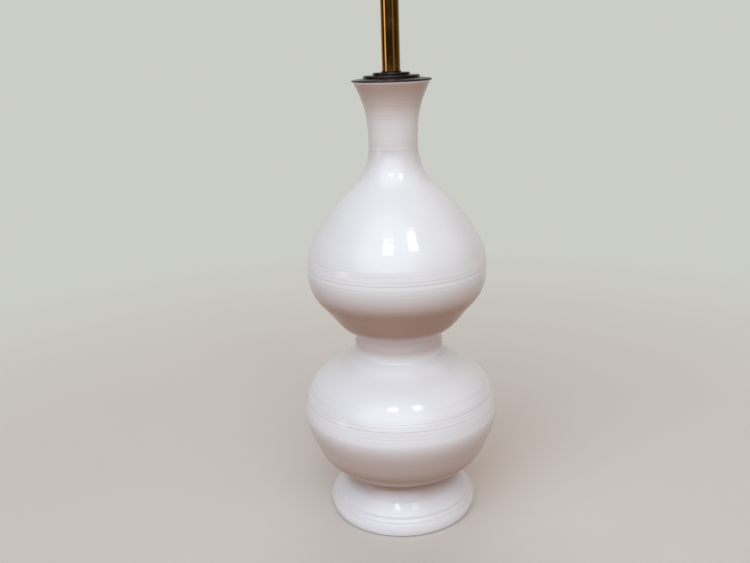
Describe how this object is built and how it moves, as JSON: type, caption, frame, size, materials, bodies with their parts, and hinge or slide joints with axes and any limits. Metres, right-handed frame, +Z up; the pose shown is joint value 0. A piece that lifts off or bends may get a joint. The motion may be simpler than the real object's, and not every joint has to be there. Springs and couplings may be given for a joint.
{
  "type": "table lamp",
  "caption": "Table lamp with a glazed double-gourd ceramic body on a moulded foot, a stepped cap, a plain stem and downward lights on bent arms, with pull chains and a shade seat.",
  "frame": {"origin": "on the table, under the axis that the body and stem are turned about", "axes": "+Z up along the stem; X through the two lights, +X to the right one; the cord leaves the foot at the back, towards +Y"},
  "size_m": [0.1838, 0.1838, 0.7853],
  "materials": {
    "white_glaze": "glossy white glaze",
    "dark_bronze": "blackened bronze, satin",
    "aged_brass": "polished brass, aged",
    "spun_brass": "spun brass, lacquered",
    "zinc_steel": "zinc plated steel",
    "bulb_metal": "bright aluminium",
    "frosted_glass": "frosted glass",
    "liner_card": "fibre card",
    "black_phenolic": "moulded phenolic",
    "grommet_rubber": "matt rubber",
    "felt": "felt"
  },
  "bodies": {
    "lamp": {"felt_pad": "felt", "gourd_body": "white_glaze", "cord_grommet": "grommet_rubber", "threaded_pipe": "zinc_steel", "base_washer": "zinc_steel", "lock_washer": "zinc_steel", "base_nut": "zinc_steel", "cap_plate": "dark_bronze", "cap_large_disc": "dark_bronze", "cap_small_disc": "dark_bronze", "stem_tube": "aged_brass", "cluster_hub": "aged_brass", "hub_cover": "aged_brass", "top_stud": "zinc_steel", "shade_seat": "aged_brass", "left_arm": "aged_brass", "left_arm_locknut": "aged_brass", "left_socket_cap": "spun_brass", "left_socket_shell": "spun_brass", "left_socket_liner": "liner_card", "left_socket_holder": "black_phenolic", "left_contact": "spun_brass", "left_screw_shell": "bulb_metal", "left_chain_guide": "spun_brass", "right_arm": "aged_brass", "right_arm_locknut": "aged_brass", "right_socket_cap": "spun_brass", "right_socket_shell": "spun_brass", "right_socket_liner": "liner_card", "right_socket_holder": "black_phenolic", "right_contact": "spun_brass", "right_screw_shell": "bulb_metal", "right_chain_guide": "spun_brass"},
    "finial": {"finial": "aged_brass"},
    "left_bulb": {"left_bulb_glass": "frosted_glass", "left_bulb_base": "bulb_metal"},
    "left_chain": {"left_pull_chain": "spun_brass"},
    "right_bulb": {"right_bulb_glass": "frosted_glass", "right_bulb_base": "bulb_metal"},
    "right_chain": {"right_pull_chain": "spun_brass"}
  },
  "joints": [
    {"name": "finial_turn", "type": "hinge", "parent": "lamp", "child": "finial", "pos_m": [0, 0, 0.75825], "axis": [0, 0, 1], "continuous": true},
    {"name": "left_bulb_turn", "type": "hinge", "parent": "lamp", "child": "left_bulb", "pos_m": [-0.055, 0, 0.66165], "axis": [0, 0, -1], "range_deg": [0, 900]},
    {"name": "left_chain_pull", "type": "slide", "parent": "lamp", "child": "left_chain", "axis": [0, 0, -1], "range_m": [0, 0.008], "stiffness_N_per_m": 300, "springref_m": -0.006},
    {"name": "right_bulb_turn", "type": "hinge", "parent": "lamp", "child": "right_bulb", "pos_m": [0.055, 0, 0.66165], "axis": [0, 0, -1], "range_deg": [0, 900]},
    {"name": "right_chain_pull", "type": "slide", "parent": "lamp", "child": "right_chain", "axis": [0, 0, -1], "range_m": [0, 0.008], "stiffness_N_per_m": 300, "springref_m": -0.006}
  ]
}
